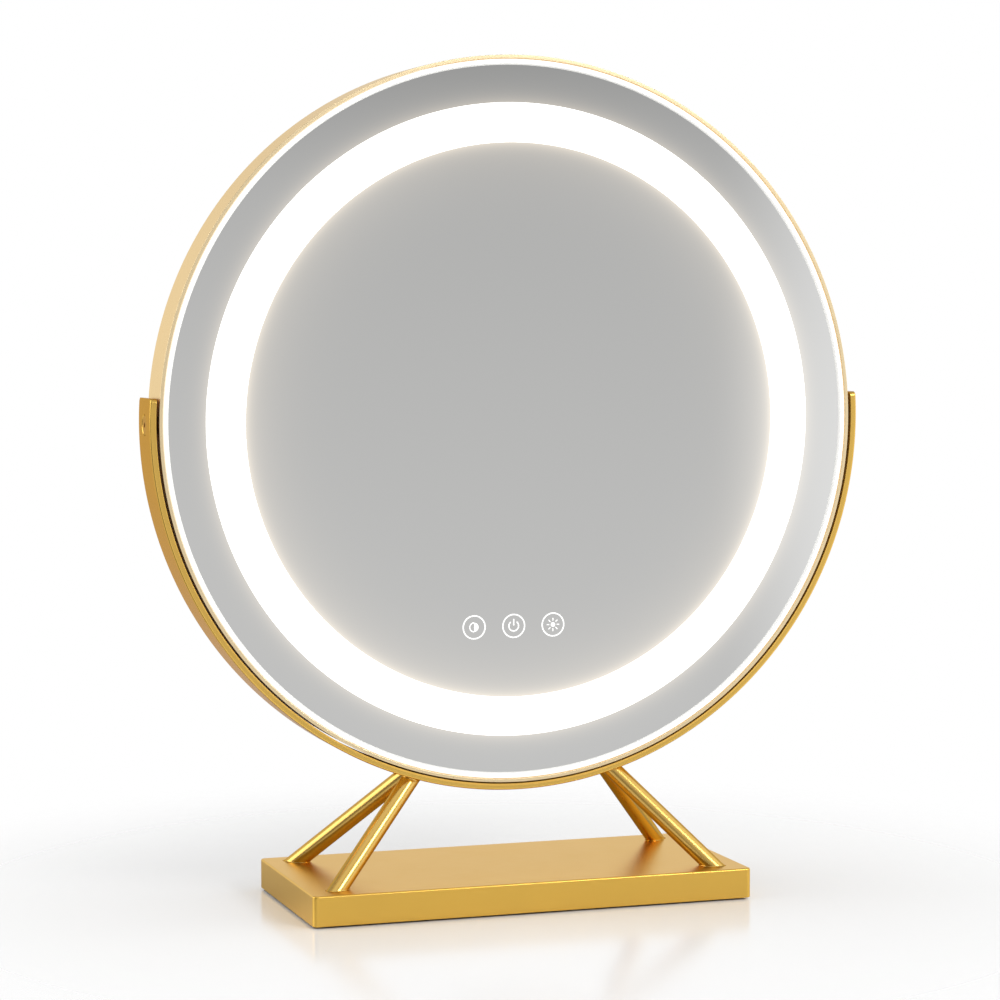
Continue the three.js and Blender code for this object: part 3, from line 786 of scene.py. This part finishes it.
HOOP_EDGE = 0.2 * MM
HOOP_INNER_EDGE = 0.25 * MM
PIVOT_CUT = (150 * MM, 230 * MM)  # from well inside the housing to well outside the hoop
TRIM_SETBACK = 0.4 * MM  # of the white ring's front edge behind the hoop's
HOUSING_WALL = 2 * MM
HOUSING_LEDGE = 196 * MM  # inner radius of the ledge behind the glass
LEDGE_DEPTH = 2.8 * MM
GLASS_GAP = 0.1 * MM
GLASS_BEVEL = 0.7 * MM
BAND_SLOPE = 0.1 * MM


def ring_piece(name, corners, material, replaced, cutters=()):
    shape = turned(name, filleted(corners), HEAD, BACKWARD, RING_STEPS, closed=True)
    if cutters:
        shape = cut(shape, cutters)
    piece(name, shape, material, "mirror_head", replaced)


def pivot_holes():
    return [
        prism(SMALL_STEPS, PIVOT_HOLE, *PIVOT_CUT, HEAD, Vector((side, 0, 0)))
        for side in (-1, 1)
    ]


def add_hoop():
    inner = HOOP_OUTER - HOOP_WALL
    ring_piece("gold_hoop", [
        (inner, HOOP_FRONT, HOOP_INNER_EDGE), (HOOP_OUTER, HOOP_FRONT, HOOP_EDGE),
        (HOOP_OUTER, HOOP_BACK, HOOP_EDGE), (inner, HOOP_BACK, HOOP_INNER_EDGE),
    ], GOLD_HOOP, ["hoop"], pivot_holes())


def add_housing():
    """White ring whose front edge is the bright line round the glass."""
    rim = GLASS_RADIUS + GLASS_GAP
    front = HOOP_FRONT + TRIM_SETBACK
    wall = HOUSING_OUTER - HOUSING_WALL
    seat = GLASS_BACK + 0.3 * MM
    ledge = seat + LEDGE_DEPTH
    ring_piece("trim_ring", [
        (rim, front, 0.3 * MM), (HOUSING_OUTER, front, 0.5 * MM),
        (HOUSING_OUTER, HOUSING_BACK, 0.3 * MM), (wall, HOUSING_BACK, 0.3 * MM),
        (wall, ledge, 0.5 * MM), (HOUSING_LEDGE, ledge, 0.3 * MM),
        (HOUSING_LEDGE, seat, 0.3 * MM), (rim, seat),
    ], TRIM_LIGHT, ["housing"], pivot_holes())


def add_glass():
    flat = GLASS_RADIUS - GLASS_BEVEL
    outline = [
        (0, GLASS_FRONT), (flat, GLASS_FRONT), (GLASS_RADIUS, GLASS_FRONT + GLASS_BEVEL),
        (GLASS_RADIUS, GLASS_BACK - GLASS_BEVEL), (flat, GLASS_BACK), (0, GLASS_BACK),
    ]
    disc = turned("mirror_disc", outline, HEAD, BACKWARD, RING_STEPS)
    piece("mirror_disc", disc, MIRROR, "mirror_head", ["mirror_glass"])
    ring_piece("frosted_band", [
        (BAND_INNER, GLASS_FRONT + SUNK), (BAND_INNER + BAND_SLOPE, GLASS_FRONT - PROUD),
        (BAND_OUTER - BAND_SLOPE, GLASS_FRONT - PROUD), (BAND_OUTER, GLASS_FRONT + SUNK),
    ], BAND_LIGHT, [])


# ---- Touch key marks ----

KEY_RADIUS = 6.9 * MM
KEY_LINE = 0.75 * MM
MARK_LINE = 0.7 * MM
POWER_RADIUS = 2.9 * MM
POWER_GAP = math.radians(38)  # half of the opening at the top
HALF_DISC_RADIUS = 2.6 * MM
SUN_RADIUS = 1.35 * MM
SUN_RAYS = 8
ARC_STEPS = 48
DISC_STEPS = 32
HALF_DISC_STEPS = 24
RAY_START = 2.2 * MM
RAY_END = 3.8 * MM


def flat_mark(outline, place):
    """A thin raised mark on the glass from an outline of (right, up) points."""
    corner = HEAD + Vector((place + KEY_SHIFT, 0, -KEY_DROP))
    depths = (GLASS_FRONT + SUNK, GLASS_FRONT - PROUD)
    rows = [[corner + Vector((x, depth, z)) for x, z in outline] for depth in depths]
    return skinned("mark", rows)


def arc(radius, start, end, steps):
    """Points along an arc, both ends included."""
    turns = [start + (end - start) * k / steps for k in range(steps + 1)]
    return [(radius * math.cos(a), radius * math.sin(a)) for a in turns]


def arc_line(radius, width, start, end):
    """Outline of a curved stroke with square ends."""
    outer = arc(radius + width / 2, start, end, ARC_STEPS)
    inner = arc(radius - width / 2, start, end, ARC_STEPS)
    return outer + inner[::-1]


def straight_line(start, end, width):
    along = (Vector(end) - Vector(start)).normalized()
    side = Vector((-along.y, along.x)) * width / 2
    return [Vector(start) - side, Vector(end) - side, Vector(end) + side, Vector(start) + side]


def key_circle(place):
    """The ring round a key, in two halves so that each is a simple outline."""
    return [
        flat_mark(arc_line(KEY_RADIUS - KEY_LINE / 2, KEY_LINE, start, start + math.pi), place)
        for start in (0, math.pi)
    ]


def power_mark(place):
    broken = arc_line(POWER_RADIUS, MARK_LINE, math.pi / 2 + POWER_GAP, math.pi * 2.5 - POWER_GAP)
    stem = straight_line((0, 0.3 * MM), (0, 4.0 * MM), MARK_LINE)
    return [flat_mark(broken, place), flat_mark(stem, place)]


def half_disc_mark(place):
    """A circle with its right half filled, for the colour of the light."""
    half = arc(HALF_DISC_RADIUS, -math.pi / 2, math.pi / 2, HALF_DISC_STEPS)
    rim = arc_line(HALF_DISC_RADIUS, MARK_LINE * 0.8, math.pi / 2, math.pi * 1.5)
    return [flat_mark(half, place), flat_mark(rim, place)]


def sun_mark(place):
    """A small disc with rays, for brightness."""
    disc = arc(SUN_RADIUS, 0, 2 * math.pi, DISC_STEPS)[:-1]
    marks = [flat_mark(disc, place)]
    for x, z in arc(1, 0, 2 * math.pi, SUN_RAYS)[:-1]:
        way = Vector((x, z))
        ray = straight_line(way * RAY_START, way * RAY_END, MARK_LINE * 0.75)
        marks.append(flat_mark(ray, place))
    return marks


def add_keys():
    for name, place, mark in (
        ("colour", -KEY_SPACING, half_disc_mark),
        ("power", 0, power_mark),
        ("brightness", KEY_SPACING, sun_mark),
    ):
        shape = joined("key", key_circle(place) + mark(place))
        piece(f"touch_mark_{name}", shape, ICON_LIGHT, "mirror_head")


# ---- Back of the head ----

COVER_THICKNESS = 2 * MM
PANEL_OUTSIDE = 183 * MM  # where the raised panel's slope begins and ends, outside and inside
PANEL_FOOT = 188 * MM
PANEL_INSIDE = 182 * MM
PANEL_INSIDE_FOOT = 187 * MM
COVER_SCREW_HOLE = 1.5 * MM
COVER_SCREW = {
    "shank": 1.2 * MM, "head": 2.8 * MM, "head_height": 1.6 * MM,
    "material": BLACK_SCREW, "slot": "black_steel", "body": "mirror_head",
}
JACK_RADIUS = 4 * MM
JACK_GAP = 0.3 * MM
JACK_COLLAR = 6.5 * MM
JACK_COLLAR_THICKNESS = 1.2 * MM
JACK_BORE = 3.0 * MM
JACK_BORE_FLOOR = 3.5 * MM
JACK_PIN = 1.0 * MM
JACK_PIN_SETBACK = 1.4 * MM


def add_back_cover():
    flange = COVER_INSIDE
    panel = COVER_OUTSIDE - COVER_THICKNESS
    outside = flange + COVER_THICKNESS
    outline = filleted([
        (0, panel), (PANEL_INSIDE, panel, 2 * MM), (PANEL_INSIDE_FOOT, flange, 2 * MM),
        (COVER_RADIUS, flange, 0.2 * MM), (COVER_RADIUS, outside, 0.6 * MM),
        (PANEL_FOOT, outside, 2.5 * MM), (PANEL_OUTSIDE, COVER_OUTSIDE, 2.5 * MM), (0, COVER_OUTSIDE),
    ], steps=6)
    cover = turned("back_cover", outline, HEAD, BACKWARD, RING_STEPS)
    screws = [n for n in sorted(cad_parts) if n.startswith("cover_screw_")]
    cutters = holes_for(screws, COVER_SCREW_HOLE, BACKWARD)
    cutters += holes_for(["power_jack"], JACK_RADIUS + JACK_GAP, BACKWARD)
    cover = cut(cover, cutters)
    piece("back_cover_shell", cover, WHITE_PLASTIC, "mirror_head", ["back_cover"])
    for node in screws:
        screw(node, BACKWARD, **COVER_SCREW)


def add_power_jack():
    low, high, middle = extent("power_jack")
    origin = Vector((middle.x, low.y, middle.z))
    depth = high.y - low.y
    collar = depth - JACK_COLLAR_THICKNESS
    outline = filleted([
        (0, 0), (JACK_RADIUS, 0, 0.4 * MM), (JACK_RADIUS, collar), (JACK_COLLAR, collar, 0.1 * MM),
        (JACK_COLLAR, depth, 0.6 * MM), (JACK_BORE, depth, 0.4 * MM), (JACK_BORE, JACK_BORE_FLOOR),
        (0, JACK_BORE_FLOOR),
    ])
    body = turned("jack", outline, origin, BACKWARD, BOLT_STEPS)
    piece("power_socket", body, BLACK_PLASTIC, "mirror_head", ["power_jack"])
    pin_foot = JACK_BORE_FLOOR - 0.5 * MM
    pin_tip = depth - JACK_PIN_SETBACK
    outline = filleted([(0, pin_foot), (JACK_PIN, pin_foot), (JACK_PIN, pin_tip, 0.6 * MM), (0, pin_tip)])
    pin = turned("pin", outline, origin, BACKWARD, SMALL_STEPS)
    piece("power_socket_pin", pin, STEEL, "mirror_head")


# ---- CAD pieces that stay as they are, with their own materials ----

KEPT = {
    "counterweight": STEEL,
    "pivot_nut_left": STEEL,
    "pivot_nut_right": STEEL,
    "pivot_block_left": STEEL,
    "pivot_block_right": STEEL,
    "power_jack_nut": STEEL,
    "light_diffuser": WHITE_INNER,
    "light_channel": WHITE_INNER,
    "light_strip": WHITE_INNER,
    "touch_board": BOARD,
    "driver_board": BOARD,
    "jack_lead": LEAD_SHEATH,
    "touch_lead": LEAD_SHEATH,
    "strip_lead": LEAD_SHEATH,
}


def dress_kept_nodes():
    for node, material in KEPT.items():
        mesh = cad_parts[node].data
        mesh.materials.clear()
        mesh.materials.append(material)


# ---- Floor, lights and surroundings ----

FLOOR_RADIUS = 0.5
FLOOR_RINGS = 8
FLOOR_STEPS = 96
FLOOR_FADE_START = 0.15
FLOOR_FADE_END = 0.44
FLOOR_SEEN = (0.90, 0.90, 0.90)
# Painted shade on the floor: the camera sees it as FLOOR_SEEN, but reflected and bounced rays see it pale
# in front of the object and dark behind it, where the dark back half stands in for shadow.
FLOOR_FRONT_BOUNCE = 0.98  # how pale the gold finds the floor in front of the object
FLOOR_BACK_BOUNCE = 0.42

# Brightness of the room by direction: from and to along one axis, then the brightness at each.
# The height, a dip just above level and the ceiling go by Z, the walls by X, and what lies behind by Y.
ROOM_HEIGHT = (-0.35, 0.35, 0.72, 0.40)
ROOM_DIP = (0.03, 0.12, 0.0, -0.20)
ROOM_CEILING = (0.2, 0.6, 0.0, 0.42)
ROOM_RIGHT_EDGE = (0.385, 0.43, 0.0, 0.3)
ROOM_RIGHT = (0.43, 0.65, 0.0, 0.25)
ROOM_LEFT = (0.0, 0.26, 0.4, 0.0)
ROOM_CAMERA_SIDE = (-0.55, -0.25, 0.25, 1.0)
ROOM_BEHIND = (-0.15, 0.45, 0.0, 1.0)
ROOM_BEHIND_TOP = (0.3, 0.65, 1.0, 0.45)

# Soft lights: name, place, width and height, power
LIGHT_AIM = (0, 0, 0.25)
LIGHTS = (
    ("left_softbox", (-1.75, 0.3, 0.95), (1.3, 1.6), 14),
    ("front_strip", (0.9, -1.6, 1.1), (0.9, 0.35), 13),
    ("right_softbox", (2.0, -0.6, 0.8), (1.4, 1.6), 3),
)


def add_floor():
    """A pale floor that fades into the white surroundings outside the object."""
    rings = [(FLOOR_RADIUS * k / FLOOR_RINGS, 0) for k in range(FLOOR_RINGS + 1)]
    mesh = turned("floor", rings, Vector((0, 0, 0)), UP, FLOOR_STEPS)
    floor = bpy.data.objects.new("floor", mesh)
    bpy.context.scene.collection.objects.link(floor)
    surface = Surface("pale_floor", Roughness=0.16, Specular_IOR_Level=0.2)
    seen = surface.node("LightPath").outputs["Is Camera Ray"]
    depth = surface.node("SeparateXYZ", {0: surface.coordinates}).outputs["Y"]
    # Painted shade: for reflected and bounced rays the floor turns dark behind the object.
    grey = surface.ranged(depth, -0.05, 0.05, FLOOR_FRONT_BOUNCE, FLOOR_BACK_BOUNCE, smooth=True)
    bounced = surface.node("CombineColor", {"Red": grey, "Green": grey, "Blue": grey}).outputs[0]
    surface.set("Base Color", surface.mixed(seen, bounced, colour(*FLOOR_SEEN)))
    reach = surface.node("VectorMath", {0: surface.coordinates}, operation="LENGTH").outputs["Value"]
    fade = surface.ranged(reach, FLOOR_FADE_START, FLOOR_FADE_END, 0, 1, smooth=True)
    clear = surface.node("BsdfTransparent").outputs[0]
    blend = surface.node("MixShader", {0: fade, 1: surface.shader.outputs[0], 2: clear})
    surface.feed(surface.tree.nodes["Material Output"].inputs["Surface"], blend.outputs[0])
    mesh.materials.append(surface.material)


def add_surroundings():
    """White behind the object, and a soft grey room in front of it that the mirror reflects."""
    world = bpy.data.worlds.new("studio")
    bpy.context.scene.world = world
    world.use_nodes = True
    room = Nodes(world.node_tree)
    direction = room.node("TexCoord").outputs["Generated"]
    parts = room.node("SeparateXYZ", {0: direction}).outputs

    def share(axis, span):
        return room.ranged(parts[axis], *span, smooth=True)

    front = room.total(
        share("Z", ROOM_HEIGHT), share("Z", ROOM_DIP), share("Z", ROOM_CEILING),
        share("X", ROOM_RIGHT_EDGE), share("X", ROOM_RIGHT), share("X", ROOM_LEFT),
    )
    behind = share("Y", ROOM_BEHIND)
    ahead = room.math("SUBTRACT", 1.0, behind)
    lit = room.total(
        room.product(front, share("X", ROOM_CAMERA_SIDE), ahead),
        room.product(behind, share("Z", ROOM_BEHIND_TOP)),
    )
    seen = room.node("LightPath").outputs["Is Camera Ray"]
    unseen = room.math("SUBTRACT", 1.0, seen)
    background = room.tree.nodes["Background"]
    background.inputs["Color"].default_value = colour(1, 1, 1)
    room.feed(background.inputs["Strength"], room.total(room.product(lit, unseen), seen))


def add_lights():
    for name, place, size, power in LIGHTS:
        data = bpy.data.lights.new(name, "AREA")
        data.shape = "RECTANGLE"
        data.size, data.size_y = size
        data.energy = power
        light = bpy.data.objects.new(name, data)
        light.location = place
        away = Vector(place) - Vector(LIGHT_AIM)
        light.rotation_euler = away.to_track_quat("Z", "Y").to_euler()
        bpy.context.scene.collection.objects.link(light)


# ---- Assembly ----

add_base_shell()
add_bottom_plate()
add_feet_and_bottom_screws()
add_rods()
add_yoke()
add_pivots()
add_hoop()
add_housing()
add_glass()
add_keys()
add_back_cover()
add_power_jack()
dress_kept_nodes()
add_floor()
add_surroundings()
add_lights()

bpy.context.scene.view_settings.view_transform = "Standard"
